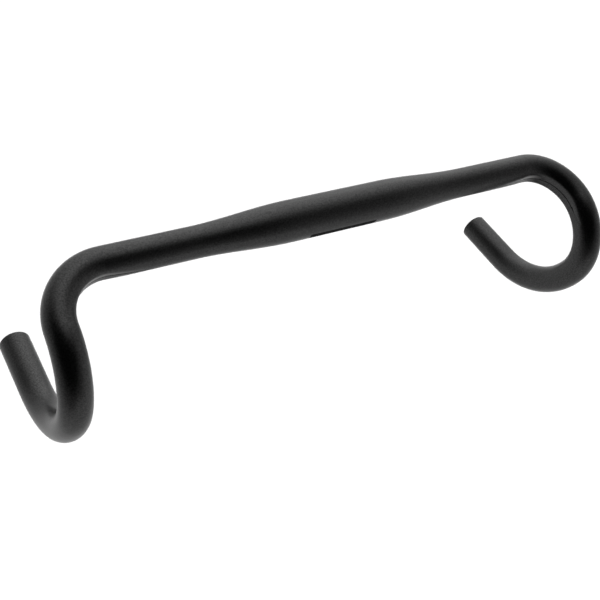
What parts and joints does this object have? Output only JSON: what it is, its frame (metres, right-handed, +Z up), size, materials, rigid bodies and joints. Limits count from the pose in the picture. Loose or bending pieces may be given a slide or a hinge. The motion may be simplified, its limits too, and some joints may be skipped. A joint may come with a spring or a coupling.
{
  "type": "road bike drop handlebar",
  "caption": "Road bike drop handlebar: one bent aluminium tube with a wide clamp bulge, tapered tops, pressed cable grooves and compact hooks.",
  "frame": {"origin": "centre of the stem clamp seat, on the axis of the tops", "axes": "+X towards the rider's right, along the clamp; +Y forwards; +Z up, with the ramps 6 degrees down towards the front"},
  "size_m": [0.4896, 0.121, 0.1597],
  "materials": {
    "black_anodised": "bead-blasted and black anodised, matt"
  },
  "bodies": {
    "root": {"handlebar": "black_anodised"}
  },
  "joints": []
}
